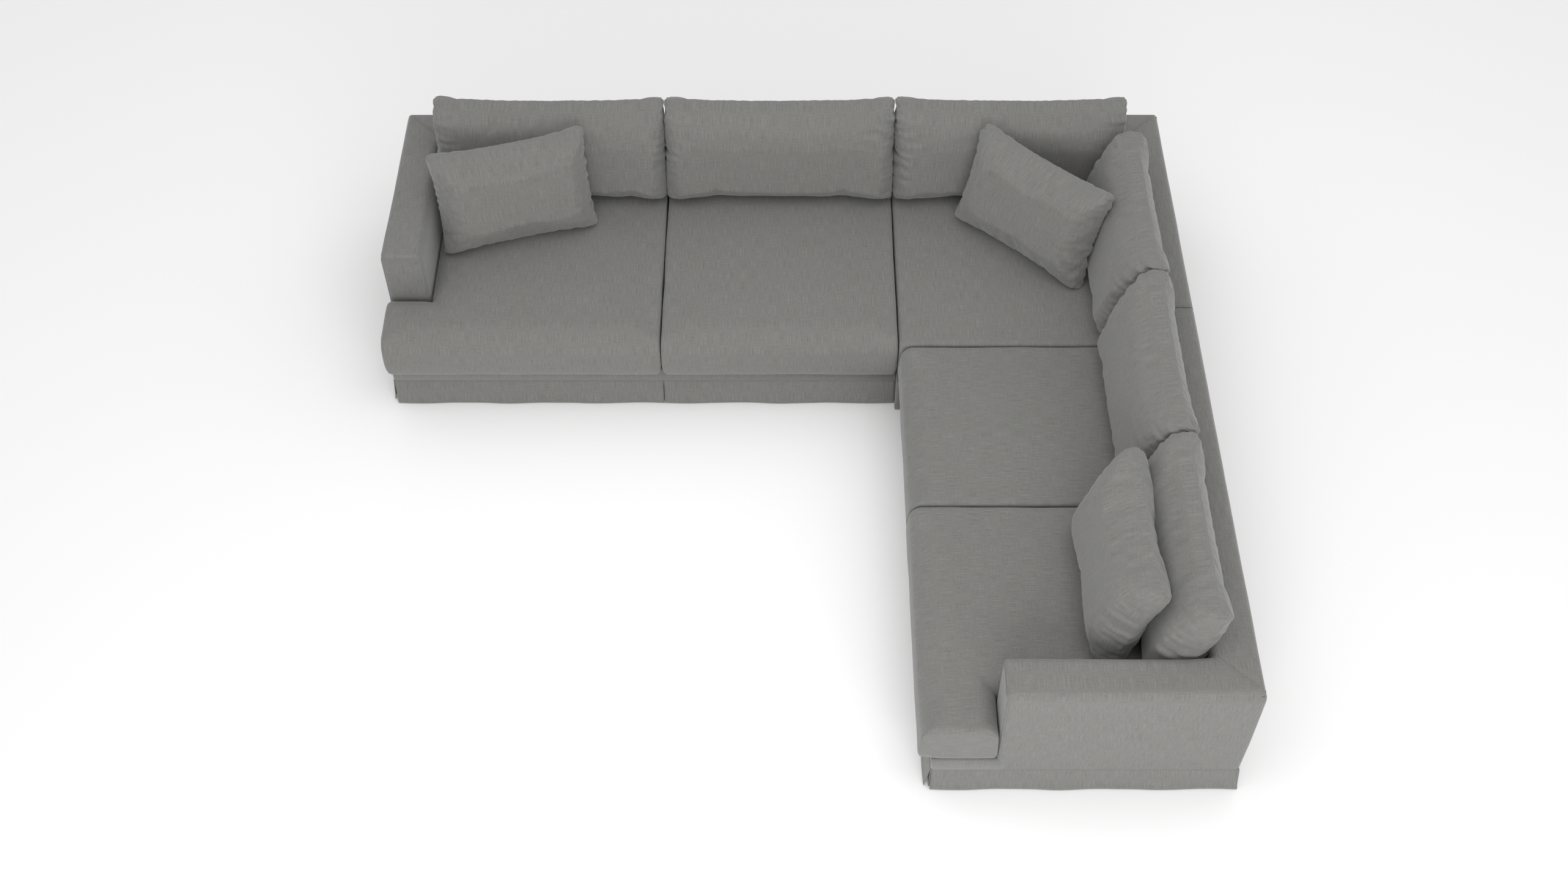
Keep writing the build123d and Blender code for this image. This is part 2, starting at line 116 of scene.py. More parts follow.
BACK = {
    "sides": {"top": (0.24, 0.380, 2.2), "foot": (0.60, 0.055, 2.2), "end": (0.40, 0.085, 2.2)},
    "seam": 0.062,  # in front of the rear face
    "rear_roll": (0.085, 2.2),  # length and fullness of the rear panel's roll
    "corner": 0.016,
    "draw": (0.0, 0.010),  # how far the ends and the top are drawn in between the corners
    "slack": 0.03,  # share by which the cloth is larger than the form
    "fill": 0.75,
    "gather": 1.3,
}
PILLOW = {
    "sides": {"top": (0.14, 0.210, 2.0), "foot": (0.14, 0.190, 2.0), "end": (0.14, 0.150, 2.0)},
    "seam": 0.080,
    "rear_roll": (0.150, 2.0),
    "corner": 0.014,
    "draw": (0.014, 0.008),
    "slack": 0.04,
    "fill": 0.6,
    "gather": 1.0,
}
END_REACH = 0.001  # how far stuffing presses the ends of a cushion past its CAD solid
TOP_STEPS = 24  # the most grid lines below a top seam that follow the profile
GATHER_LENGTH = 0.050  # from fold to fold along a gathered end
GATHER_REACH = 0.110
GATHER_DEPTH = 0.0050
GATHER_SETS = ((1.0, 1.0, 4), (0.58, 0.7, 6))  # share of the length and of the depth, and a seed
GATHER_REACHES = (0.75, 0.7, 0.09)  # mean share of the reach, its spread and its wavelength
GATHER_DEPTHS = (0.45, 1.3, 0.10)
GATHER_DRIFT = (0.0, 6, 0.15)  # radians
DART_DEPTH = 0.006
DART_WIDTH = 0.005
DART_LENGTH = 0.070

# Frame covers
COVER_FULL = 0.004  # how far the padding fills the cover out
COVER_CROWN = 0.020
COVER_EDGE = 0.020  # rounding of the top edges of the arms and backs
COVER_CORNER = 0.008  # and of the upright ones
COVER_TIGHT = 0.007  # and of the top edge at an arm's front
FRONT_REACH = COVER_TIGHT * 1.1  # within which an edge belongs to the arm's front
TOP_REACH = 0.001  # and within which it belongs to the top
UPRIGHT = 0.1  # an edge that climbs further is an upright one
CORNER_STEPS = 3  # facets of a rounded edge
EDGE_STEPS = 6
ARM_SOFT = 0.040  # over which an arm's top turns into its inner side
ARM_SOFTNESS = 0.6  # share of a full round
ARM_FADE = 0.10  # over which that turn tightens towards the back
COVER_TUCK = 0.045  # how far a cover reaches down behind the skirt
COVER_SPARE = 0.12  # how far its plan runs on past a joint before it is cut
COVER_VOXEL = 0.008
COVER_SWAY = 0.0012  # how far the padding makes the flat faces swell
COVER_SWELLS = ((1.0, 0.30, 2), (0.5, 0.11, 5))  # share, wavelength and seed of that
COVER_RISE = 0.25  # over which filling and swelling grow from a cover's lower edge
COVER_FILL = 0.95
SEAM_WIDTH = 0.0064
SEAM_STEP = 0.002  # the least distance between a seam's points
SEAM_WEAVE = (0.01, 0.002)  # cloth for each step along a seam and round it
MITRE_STEPS = 60
PANEL_STEPS = 70
PANEL_SEAM_LOW = 0.10  # where an arm's front seam starts, above the cover's CAD edge

# Decks and front bands
DECK_FILL = 0.9
PLATFORM_PITCH = 0.018
PLATFORM_EDGE = (0.012, 2.0)  # length and fullness of its roll
PLATFORM_DIP = 0.004
STRAP_PITCH = 0.118
BAND_EDGE = 0.010
BAND_OUT = 0.0008  # so that the band lies over the foot of the arm's cover
BAND_UNDER = 0.030
BAND_CLOTH = 0.003
BAND_STEPS = 4
BAND_CREASE = 40  # degrees

# Skirt
SKIRT_DROP = 0.011  # from the lower edge of a CAD cover to the skirt's seam
SKIRT_FLARE = {"front_end": 0.016, "front_mid": 0.016, "side": 0.011, "rear": 0.011}
SKIRT_SWING = 0.0028
SWING_POWER = 1.5  # how late the swing grows on the way down
SKIRT_FOLD = 0.190
FOLD_NOISE = (9, 1.5)  # for each metre along a panel, and over its height
SKIRT_CLOTH = 0.0025
SKIRT_SEWN = 0.0025  # how far its top edge is sewn in
SKIRT_PROUD = 0.0012  # how far it lies out over the band and cover below that edge
PANEL_PITCH = 0.012
PANEL_ROWS = 16
LEAST_COLUMNS = 6
HEM_HEIGHT = 0.022
HEM_CLOTH = 0.0012  # how far the turned hem stands out
HEM_LOWER = 0.004  # how far the cloth hangs below its solid
SLIT = 0.004  # between two panels
FLAP = 0.110
FLAP_BEHIND = 0.0028


# Materials


def node_tree(name):
    material = bpy.data.materials.new(name)
    material.use_nodes = True
    tree = material.node_tree
    return material, tree, tree.nodes["Principled BSDF"]


def link(tree, source, target):
    tree.links.new(source, target)


def math_node(tree, operation, a, b=None, c=None):
    """A Math node's output, with sockets or numbers as its inputs."""
    node = tree.nodes.new("ShaderNodeMath")
    node.operation = operation
    for slot, value in enumerate((a, b, c)):
        if value is None:
            continue
        if isinstance(value, (int, float)):
            node.inputs[slot].default_value = value
        else:
            link(tree, value, node.inputs[slot])
    return node.outputs[0]


def stretched_noise(tree, u, v, across, along, detail=2.0, offset=0.0):
    """Noise on a pair of coordinates, scaled differently in each direction."""
    place = tree.nodes.new("ShaderNodeCombineXYZ")
    link(tree, math_node(tree, "MULTIPLY", u, across), place.inputs[0])
    link(tree, math_node(tree, "MULTIPLY", v, along), place.inputs[1])
    place.inputs[2].default_value = offset
    texture = tree.nodes.new("ShaderNodeTexNoise")
    texture.inputs["Scale"].default_value = 1.0
    texture.inputs["Detail"].default_value = detail
    link(tree, place.outputs[0], texture.inputs["Vector"])
    return texture.outputs["Fac"]


def ramp(tree, value, low, high):
    """Value rescaled so that low is 0 and high is 1, and held there."""
    node = tree.nodes.new("ShaderNodeMapRange")
    node.inputs["From Min"].default_value = low
    node.inputs["From Max"].default_value = high
    link(tree, value, node.inputs["Value"])
    return node.outputs["Result"]


def coloured(tree, shader, factor, dark, light):
    """Gives a shader the colours between dark and light."""
    node = tree.nodes.new("ShaderNodeMix")
    node.data_type = "RGBA"
    node.inputs[6].default_value = (*dark, 1)
    node.inputs[7].default_value = (*light, 1)
    link(tree, factor, node.inputs[0])
    link(tree, node.outputs[2], shader.inputs["Base Color"])


def roughened(tree, shader, pattern, share, base):
    """Gives a shader a base roughness that varies with a pattern."""
    link(tree, math_node(tree, "MULTIPLY_ADD", pattern, share, base), shader.inputs["Roughness"])


def bumped(tree, shader, height, strength, distance):
    bump = tree.nodes.new("ShaderNodeBump")
    bump.inputs["Strength"].default_value = strength
    bump.inputs["Distance"].default_value = distance
    link(tree, height, bump.inputs["Height"])
    link(tree, bump.outputs["Normal"], shader.inputs["Normal"])


def linen(name, dark, light, thread):
    """Plain-woven linen on the cloth's own coordinates: fine threads both ways, soft streaks where yarns
    are thicker, mostly along the warp, and small light flecks."""
    material, tree, shader = node_tree(name)
    cloth = tree.nodes.new("ShaderNodeUVMap")
    cloth.uv_map = WEAVE
    split = tree.nodes.new("ShaderNodeSeparateXYZ")
    link(tree, cloth.outputs[0], split.inputs[0])
    u, v = split.outputs[0], split.outputs[1]
    fine = 1 / thread
    warp = stretched_noise(tree, u, v, fine, fine / THREAD_RUN)
    weft = stretched_noise(tree, u, v, fine / THREAD_RUN, fine, offset=3.0)
    warp_streak = stretched_noise(tree, u, v, *YARN, 1.0, 7.0)
    weft_streak = stretched_noise(tree, u, v, *YARN[::-1], 1.0, 11.0)
    flecks = ramp(tree, stretched_noise(tree, u, v, *FLECKS, 1.0, 5.0), 0.68, 0.82)
    threads = math_node(tree, "ADD", warp, weft)
    tone = math_node(tree, "MULTIPLY", threads, 0.55)
    for pattern, share in ((warp_streak, 0.85), (weft_streak, 0.45), (flecks, 0.30)):
        tone = math_node(tree, "MULTIPLY_ADD", pattern, share, tone)
    coloured(tree, shader, ramp(tree, tone, 0.65, 1.75), dark, light)
    over = math_node(tree, "SINE", math_node(tree, "MULTIPLY", u, 2 * math.pi * fine))
    under = math_node(tree, "SINE", math_node(tree, "MULTIPLY", v, 2 * math.pi * fine))
    plain_weave = math_node(tree, "MULTIPLY", over, under)
    relief = math_node(tree, "ADD", warp_streak, threads)
    bumped(tree, shader, math_node(tree, "MULTIPLY_ADD", plain_weave, 0.25, relief), 0.35, 0.0008)
    roughened(tree, shader, threads, -0.10, 0.98)
    shader.inputs["Sheen Weight"].default_value = 0.30
    shader.inputs["Sheen Roughness"].default_value = 0.45
    shader.inputs["Specular IOR Level"].default_value = 0.25
    return material


def object_axes(tree):
    """Outputs for x, y and z on object coordinates."""
    place = tree.nodes.new("ShaderNodeTexCoord")
    split = tree.nodes.new("ShaderNodeSeparateXYZ")
    link(tree, place.outputs["Object"], split.inputs[0])
    return split.outputs


def sawn_wood(name, dark, light, across, along):
    """Timber with a stretched grain and fine fibres."""
    material, tree, shader = node_tree(name)
    x, y, z = object_axes(tree)
    grain = stretched_noise(tree, math_node(tree, "ADD", x, y), z, across, along, 6.0)
    fibre = stretched_noise(tree, x, z, 140, 9, 3.0, 2.0)
    tone = math_node(tree, "MULTIPLY_ADD", fibre, 0.4, grain)
    coloured(tree, shader, ramp(tree, tone, 0.45, 0.95), dark, light)
    roughened(tree, shader, fibre, 0.25, 0.45)
    bumped(tree, shader, tone, 0.25, 0.001)
    return material


def plated_steel(name, dark, light):
    material, tree, shader = node_tree(name)
    x, y, _ = object_axes(tree)
    brushed = stretched_noise(tree, x, y, 60, 900, 2.0)
    coloured(tree, shader, brushed, dark, light)
    roughened(tree, shader, brushed, 0.25, 0.25)
    shader.inputs["Metallic"].default_value = 1.0
    return material


def strap_weave(name, dark, light):
    """Elastic webbing with close ribs and coarse yarn."""
    material, tree, shader = node_tree(name)
    x, y, _ = object_axes(tree)
    ribs = math_node(tree, "SINE", math_node(tree, "MULTIPLY", math_node(tree, "ADD", x, y), 2600))
    yarn = stretched_noise(tree, x, y, 700, 700, 2.0)
    tone = math_node(tree, "MULTIPLY_ADD", ribs, 0.2, yarn)
    coloured(tree, shader, ramp(tree, tone, 0.2, 0.9), dark, light)
    roughened(tree, shader, yarn, 0.15, 0.75)
    bumped(tree, shader, tone, 0.5, 0.0008)
    return material


LINEN = linen("linen", (0.101, 0.100, 0.095), (0.262, 0.260, 0.248), LINEN_THREAD)
LINING = linen("platform_lining", (0.090, 0.089, 0.085), (0.150, 0.149, 0.144), LINING_THREAD)
TIMBER = sawn_wood("frame_timber", (0.42, 0.29, 0.17), (0.66, 0.50, 0.33), 9, 60)
FOOT_WOOD = sawn_wood("foot_wood", (0.045, 0.028, 0.018), (0.12, 0.075, 0.045), 30, 12)
STEEL = plated_steel("plated_steel", (0.42, 0.42, 0.41), (0.60, 0.60, 0.58))
WEBBING = strap_weave("elastic_webbing", (0.30, 0.27, 0.22), (0.55, 0.50, 0.42))


# Meshes


def linked(name, mesh, material):
    """A smooth object of a mesh, in one material."""
    mesh.materials.clear()
    mesh.materials.append(material)
    mesh.polygons.foreach_set("use_smooth", np.ones(len(mesh.polygons), bool))
    piece = bpy.data.objects.new(name, mesh)
    scene.collection.objects.link(piece)
    return piece


def new_object(name, points, faces, material, uvs=None):
    """A smooth mesh object. uvs has one pair for each corner of each face, in order."""
    mesh = bpy.data.meshes.new(name)
    mesh.from_pydata([tuple(p) for p in points], [], [tuple(f) for f in faces])
    if uvs is not None:
        layer = mesh.uv_layers.new(name=WEAVE)
        layer.uv.foreach_set("vector", np.asarray(uvs, np.float32).ravel())
    return linked(name, mesh, material)


def rows_of(items, attribute):
    """Three numbers for each item of a mesh."""
    flat = np.zeros(len(items) * 3, np.float32)
    items.foreach_get(attribute, flat)
    return flat.reshape(-1, 3).astype(float)


def points_of(mesh):
    return rows_of(mesh.vertices, "co")


def normals_of(mesh):
    return rows_of(mesh.vertex_normals, "vector")


def set_points(mesh, points):
    mesh.vertices.foreach_set("co", np.asarray(points, np.float32).ravel())
    mesh.update()


def sway(points, wavelength, seed):
    """Smooth noise from -1 to 1 at each point."""
    shift = Vector((seed * 3.7, seed * 1.3, seed * 7.1))
    return np.array([noise.noise(Vector(p) / wavelength + shift) for p in points])


def varied(points, spread, seed):
    """A value that varies smoothly over points. Spread is its mean, its reach and its wavelength."""
    mean, reach, wavelength = spread
    return mean + reach * sway(points, wavelength, seed)


def handed_over(piece, body, fill, *nodes):
    """Gives a padded piece to its body, in place of CAD nodes."""
    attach(piece, body)
    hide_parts(*nodes)


def tube(name, path, radius, material, sides=6):
    """A thin cord of sewn cloth along a path of points."""
    path = [Vector(p) for p in path]
    askew = Vector((0.31, 0.22, 0.93))  # along no seam
    points, faces, uvs = [], [], []
    for i, p in enumerate(path):
        ahead = (path[min(i + 1, len(path) - 1)] - path[max(i - 1, 0)]).normalized()
        across = ahead.cross(askew).normalized()
        up = across.cross(ahead)
        for k in range(sides):
            turn = 2 * math.pi * k / sides
            points.append(p + (across * math.cos(turn) + up * math.sin(turn)) * radius)
    for i in range(len(path) - 1):
        for k in range(sides):
            n = (k + 1) % sides
            faces.append((i * sides + k, i * sides + n, (i + 1) * sides + n, (i + 1) * sides + k))
            quad = ((i, k), (i, k + 1), (i + 1, k + 1), (i + 1, k))
            uvs += [(a * SEAM_WEAVE[0], b * SEAM_WEAVE[1]) for a, b in quad]
    for ring in (range(sides - 1, -1, -1), range((len(path) - 1) * sides, len(path) * sides)):
        faces.append(tuple(ring))
        uvs += [(0, 0)] * sides
    return new_object(name, points, faces, material, uvs)


# Cushions


def rolled(distance, roll, power):
    """Height of a rounded edge, from 0 at the seam to 1 where the roll ends."""
    t = np.clip(distance / roll, 0, 1)
    return (1 - (1 - t) ** power) ** (1 / power)


def eased(distance, length):
    """A smooth rise from 0 to 1 over a length."""
    t = np.clip(distance / length, 0, 1)
    return t * t * (3 - 2 * t)


def shoulder(distance, side):
    """Height over a side's upright part, as a share of the whole."""
    upright, roll, power = side
    return upright + (1 - upright) * rolled(distance, roll, power)


def side_steps(rise, side, wall=WALL_ROLL):
    """Distances from a seam, one cloth pitch apart along the profile that rises from it."""
    turn = np.linspace(0, wall, STEP_SAMPLES)
    beyond = np.linspace(wall, max(side[1], STEP_REACH), STEP_SAMPLES)
    reach = np.concatenate([turn, beyond[1:]])
    height = rise * rolled(reach, wall, WALL_POWER) * shoulder(reach, side)
    arc = np.concatenate([[0], np.cumsum(np.hypot(np.diff(reach), np.diff(height)))])
    count = max(3, round(arc[-1] / CLOTH_PITCH))
    return np.interp(np.linspace(0, arc[-1], count + 1), arc, reach)


def span(low, high, first=None, last=None):
    """Grid lines from low to high, with given steps at either end and the cloth pitch between."""
    start = low + first if first is not None else np.array([low])
    stop = (high - last)[::-1] if last is not None else np.array([high])
    count = max(1, round((stop[0] - start[-1]) / CLOTH_PITCH))
    return np.concatenate([start, np.linspace(start[-1], stop[0], count + 1)[1:-1], stop])


def rounded_plan(a, b, corners, radius):
    """A plan with its square corners made round. Gives the moved points and their distances from the
    rounded corners. Each corner has its place and the signs that point into the plan."""
    moved_a, moved_b, away = a.copy(), b.copy(), np.full(a.shape, np.inf)
    for (ca, cb), (sa, sb) in corners:
        u, v = 1 - sa * (a - ca) / radius, 1 - sb * (b - cb) / radius
        zone = (u > 0) & (v > 0) & (u < 1.001) & (v < 1.001)
        u, v = u[zone], v[zone]
        round_u, round_v = u * np.sqrt(1 - v * v / 2), v * np.sqrt(1 - u * u / 2)
        moved_a[zone] = ca + sa * radius * (1 - round_u)
        moved_b[zone] = cb + sb * radius * (1 - round_v)
        away[zone] = radius * (1 - np.hypot(round_u, round_v))
    return moved_a, moved_b, away


def sewn(name, lines_a, lines_b, heights, place, keep=None, warp_along_a=False, material=LINEN):
    """Two panels of cloth sewn together round their edge. heights gives both panels' heights over the
    plan, place turns (a, b, height) into points, and keep picks the cells of a cut-out plan."""
    a, b = np.meshgrid(lines_a, lines_b, indexing="ij")
    middles = np.meshgrid((lines_a[:-1] + lines_a[1:]) / 2, (lines_b[:-1] + lines_b[1:]) / 2, indexing="ij")
    cells = keep(*middles) if keep else np.ones(middles[0].shape, bool)
    around = np.zeros(a.shape, int)
    for i in (0, 1):
        for j in (0, 1):
            around[i:i + cells.shape[0], j:j + cells.shape[1]] += cells
    used, edge = around > 0, (around > 0) & (around < 4)
    inner = used & ~edge
    index_face = np.full(a.shape, -1)
    index_face[used] = np.arange(used.sum())
    index_rear = index_face.copy()
    index_rear[inner] = used.sum() + np.arange(inner.sum())
    face, rear = heights(a, b)
    points = np.concatenate([place(a[used], b[used], face[used]), place(a[inner], b[inner], rear[inner])])
    i, j = np.nonzero(cells)
    ring = [(i, j), (i + 1, j), (i + 1, j + 1), (i, j + 1)]
    faces = np.concatenate([np.stack([index_face[c] for c in ring], 1),
                            np.stack([index_rear[c] for c in ring[::-1]], 1)])
    cloth = [np.stack(c[::-1] if warp_along_a else c, 1) for c in ring]
    uv = np.stack(cloth, 1) * CLOTH_PITCH
    uv_rear = np.stack(cloth[::-1], 1) * CLOTH_PITCH + REAR_WEAVE
    piece = new_object(name, points, faces, material, np.concatenate([uv, uv_rear]))
    return {"piece": piece, "base": points, "seam": index_face[edge]}


def stuffed(cushion, slack):
    """Puts slack cloth on a cushion and presses it out from inside. Its seam stays."""
    piece = cushion["piece"]
    group = piece.vertex_groups.new(name="held")
    group.add([int(i) for i in cushion["seam"]], 1.0, "REPLACE")
    cloth = piece.modifiers.new("Cloth", "CLOTH")
    for setting, value in CLOTH.items():
        setattr(cloth.settings, setting, value)
    cloth.settings.vertex_group_mass = "held"
    cloth.settings.shrink_min = -slack
    cloth.settings.effector_weights.gravity = 0
    cloth.collision_settings.use_collision = False
    cloth.collision_settings.use_self_collision = False


def settle(cushions):
    """Runs the cloth of stuffed cushions together and keeps its result, within the cap."""
    for step in range(1, SIM_FRAMES + 1):
        scene.frame_set(step)
    graph = bpy.context.evaluated_depsgraph_get()
    for cushion in cushions:
        push = points_of(cushion["piece"].evaluated_get(graph).data) - cushion["base"]
        length = np.linalg.norm(push, axis=1, keepdims=True)
        push *= SIM_CAP * np.tanh(length / SIM_CAP) / np.maximum(length, 1e-9)
        cushion["base"] = cushion["base"] + push
    scene.frame_set(1)
    for cushion in cushions:
        cushion["piece"].modifiers.clear()
        set_points(cushion["piece"].data, cushion["base"])


def creased(across_x, across_y):
    """Depth of the crease in a seat cushion, from the distances past an arm's corner along both sides."""
    along = (across_x + across_y) / math.sqrt(2)
    beside = (across_x - across_y) / math.sqrt(2)
    taper = np.clip(1 - along / CREASE_LENGTH, 0, 1) * (along > 0)
    return CREASE_DEPTH * taper * np.exp(-(beside / CREASE_WIDTH) ** 2)


def plan_corners(low, high):
    """Corners of a plan, each with the signs that point into it, by those signs."""
    return {(sa, sb): ((low[0] if sa > 0 else high[0], low[1] if sb > 0 else high[1]), (sa, sb))
            for sa in (1, -1) for sb in (1, -1)}


def seat_corners(low, high, notch):
    """Outer corners of a seat's plan, where a notch leaves two in place of one."""
    corners = plan_corners(low, high)
    if notch:
        (nx, ny), (sx, sy) = notch
        (x, y), signs = corners.pop((-sx, -sy))
        corners["ear"] = ((x, ny), signs)
        corners["arm"] = ((nx, y), signs)
    return list(corners.values())


def seat_grid(low, high, rise, sides, notch):
    """Grid lines across a seat's plan, close together at its edges and at those of a notch."""
    west, east, south, north = (side_steps(rise, SEAT_SIDES[sides[k]], SEAT_WALL[sides[k]])
                                for k in ("west", "east", "south", "north"))
    if not notch:
        return span(low.x, high.x, west, east), span(low.y, high.y, south, north)
    (nx, ny), (sx, sy) = notch
    by_arm = side_steps(rise, SEAT_SIDES["notch"], SEAT_WALL["notch"])

    def parted(start, at, stop, sign, first, last):
        before, after = (by_arm, None) if sign > 0 else (None, by_arm)
        return np.concatenate([span(start, at, first, before)[:-1], span(at, stop, after, last)])

    return parted(low.x, nx, high.x, sx, west, east), parted(low.y, ny, high.y, sy, south, north)


def seat_cushion(body, sides, notch=None):
    """A seat cushion: crowned, with a deep soft front edge and tight sides. The notch is the corner of
    the plan that an arm stands in."""
    low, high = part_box(f"{body}_cover")
    tall = high.z - low.z
    corners = seat_corners(low, high, notch)
    (nx, ny), (sx, sy) = notch if notch else ((0, 0), (0, 0))

    def keep(x, y):
        return ~((sx * (x - nx) > 0) & (sy * (y - ny) > 0))

    def heights(x, y):
        found = [(x - low.x, sides["west"]), (high.x - x, sides["east"]),
                 (y - low.y, sides["south"]), (high.y - y, sides["north"])]
        if notch:
            found.append((np.hypot(np.maximum(-sx * (x - nx), 0), np.maximum(-sy * (y - ny), 0)), "notch"))
        edge = rounded_plan(x, y, corners, SEAT_CORNER)[2]
        wall = rolled(edge, SEAT_WALL["side"], WALL_POWER)
        beside = np.minimum.reduce([distance for distance, kind in found if kind == "side"])
        pinch = SEAT_PINCH + (1 - SEAT_PINCH) * eased(beside, PINCH_REACH)
        roof, crown, seam = np.ones_like(x), np.ones_like(x), np.full_like(x, SEAT_SEAM["side"])
        for distance, kind in found:
            edge = np.minimum(edge, distance)
            wall = np.minimum(wall, rolled(distance, SEAT_WALL[kind], WALL_POWER))
            upright, roll, power = SEAT_SIDES[kind]
            roof = roof * shoulder(distance, (upright, roll * pinch if kind == "front" else roll, power))
            crown = crown * eased(distance, CROWN_REACH[kind])
            if kind == "front":
                seam += (SEAT_SEAM["front"] - SEAT_SEAM["side"]) * (1 - eased(distance, SEAM_CLIMB))
        top = seam + (tall - SEAT_CROWN - seam) * wall * roof + SEAT_CROWN * crown
        if notch:
            top = top - creased(-sx * (x - nx), -sy * (y - ny))
        return top, seam * (1 - rolled(edge, *SEAT_FOOT))

    def place(x, y, z):
        x, y, _ = rounded_plan(x, y, corners, SEAT_CORNER)
        return np.stack([x, y, low.z + z], 1)

    lines = seat_grid(low, high, tall - SEAT_SEAM["side"] - SEAT_CROWN, sides, notch)
    cushion = sewn(f"{body}_cushion", *lines, heights, place, keep if notch else None,
                   warp_along_a=sides["west"] == "front")
    cushion.update(body=body, low=np.array(low), high=np.array(high), axes=np.eye(3), fill=SEAT_FILL,
                   gather=0.0)
    return cushion


def local_box(node, axes):
    """Lowest and highest reach of a CAD node along three axes."""
    reach = points_of(frame["nodes"][node].data) @ axes.T
    return reach.min(0), reach.max(0)


def standing_cushion(body, axes, sides, seam, rear_roll, corner, draw, slack, fill, gather):
    """A stuffed cushion that stands on its lower edge: a full front panel and a flatter rear panel sewn
    together, its ends and top drawn in between the corners. Axes are across, up, facing."""
    low, high = local_box(f"{body}_cover", axes)
    low[0] -= END_REACH
    high[0] += END_REACH
    seam_at = low[2] + seam
    rise = high[2] - seam_at
    middle, half = (low + high) / 2, (high - low) / 2
    corners = list(plan_corners(low, high).values())

    def heights(a, b):
        found = [(a - low[0], "end"), (high[0] - a, "end"), (b - low[1], "foot"), (high[1] - b, "top")]
        edge = rounded_plan(a, b, corners, corner)[2]
        full, least, rear = np.ones_like(a), np.ones_like(a), np.ones_like(a)
        for distance, kind in found:
            edge = np.minimum(edge, distance)
            height = shoulder(distance, sides[kind])
            full = full * height
            least = np.minimum(least, height)
            rear = np.minimum(rear, rolled(distance, *rear_roll))
        return rise * rolled(edge, WALL_ROLL, WALL_POWER) * np.sqrt(full * least), -seam * rear

    def place(a, b, c):
        share_a, share_b = (a - middle[0]) / half[0], (b - middle[1]) / half[1]
        a, b, _ = rounded_plan(a, b, corners, corner)
        a = a - share_a * draw[0] * (1 - share_b ** 2)
        b = b - np.maximum(share_b, 0) * draw[1] * (1 - share_a ** 2)
        return np.stack([a, b, seam_at + c], 1) @ axes

    ends = side_steps(rise, sides["end"])
    lines_a = span(low[0], high[0], ends, ends)
    below_top = side_steps(rise, sides["top"])[:TOP_STEPS]
    lines_b = span(low[1], high[1], side_steps(rise, sides["foot"]), below_top)
    cushion = sewn(f"{body}_cushion", lines_a, lines_b, heights, place)
    stuffed(cushion, slack)
    cushion.update(body=body, low=low, high=high, axes=axes, fill=fill, gather=gather)
    return cushion


def back_cushion(body):
    """A back cushion, leaning as its lift joint does."""
    up = Vector(next(j for j in frame["joints"] if j["child"] == body)["axis"]).normalized()
    across = Vector(EAST if abs(up.y) > abs(up.x) else SOUTH)
    return standing_cushion(body, np.array([across, up, across.cross(up)]), **BACK)


def pillow(body):
    """A throw pillow, lying as its CAD solid does. Its axes are those of the solid's own symmetry."""
    mesh = frame["nodes"][f"{body}_cover"].data
    mesh.calc_loop_triangles()
    triangles = points_of(mesh)[np.array([t.vertices[:] for t in mesh.loop_triangles])]
    first, second = triangles[:, 1] - triangles[:, 0], triangles[:, 2] - triangles[:, 0]
    area = np.linalg.norm(np.cross(first, second), axis=1)
    centres = triangles.mean(1)
    offset = centres - (centres * area[:, None]).sum(0) / area.sum()
    spread = (offset * area[:, None]).T @ offset
    across, up = (Vector(v) for v in np.linalg.eigh(spread)[1].T[:0:-1])
    up = up if up.z > 0 else -up
    across = across if across.x - across.y > 0 else -across
    return standing_cushion(body, np.array([across, up, across.cross(up)]), **PILLOW)


def along_axes(cushion, points):
    """Points along a cushion's own axes, and how far they are from its nearer end."""
    place = points @ cushion["axes"].T
    return place, np.minimum(place[:, 0] - cushion["low"][0], cushion["high"][0] - place[:, 0])


def gathered(cushion, points):
    """Soft folds that run in from the ends of a cushion, where the cloth is gathered into the seam."""
    place, from_end = along_axes(cushion, points)
    reach = GATHER_REACH * varied(points, GATHER_REACHES, seed=9)
    folds = np.zeros(len(points))
    for length, share, seed in GATHER_SETS:
        drift = varied(points, GATHER_DRIFT, seed)
        strength = share * np.clip(varied(points, GATHER_DEPTHS, seed + len(cushion["body"])), 0, 1)
        folds += strength * np.sin(2 * math.pi * place[:, 1] / (GATHER_LENGTH * length) + drift)
    return folds * np.exp(-(from_end / reach) ** 2) * GATHER_DEPTH * cushion["gather"]


def darted(cushion, points):
    """A short crease in from each upper corner, where the cloth is folded into the seam."""
    place, from_end = along_axes(cushion, points)
    from_top = cushion["high"][1] - place[:, 1]
    inward = (from_end + from_top) / math.sqrt(2)
    across = (from_end - from_top) / math.sqrt(2)
    return -DART_DEPTH * np.exp(-(across / DART_WIDTH) ** 2) * (1 - eased(inward, DART_LENGTH))


def finished(cushion):
    """Gives a settled cushion its folds, keeps it within the room its CAD solid has, and hands it to
    its body."""
    piece, body, axes = cushion["piece"], cushion["body"], cushion["axes"]
    points = points_of(piece.data)
    swell = varied(points, BROAD_SWELL, len(body)) + varied(points, FINE_SWELL, seed=3)
    folds = gathered(cushion, points) + darted(cushion, points) if cushion["gather"] else 0.0
    points += normals_of(piece.data) * (swell + folds)[:, None]
    high = cushion["high"] + np.array([0, 0, FOLD_ROOM])
    set_points(piece.data, np.clip(points @ axes.T, cushion["low"], high) @ axes)
    if cushion["gather"]:
        smooth = piece.modifiers.new("Subdivision", "SUBSURF")
        smooth.levels = 1
        smooth.render_levels = 1
    handed_over(piece, body, cushion["fill"], f"{body}_cover", f"{body}_core")


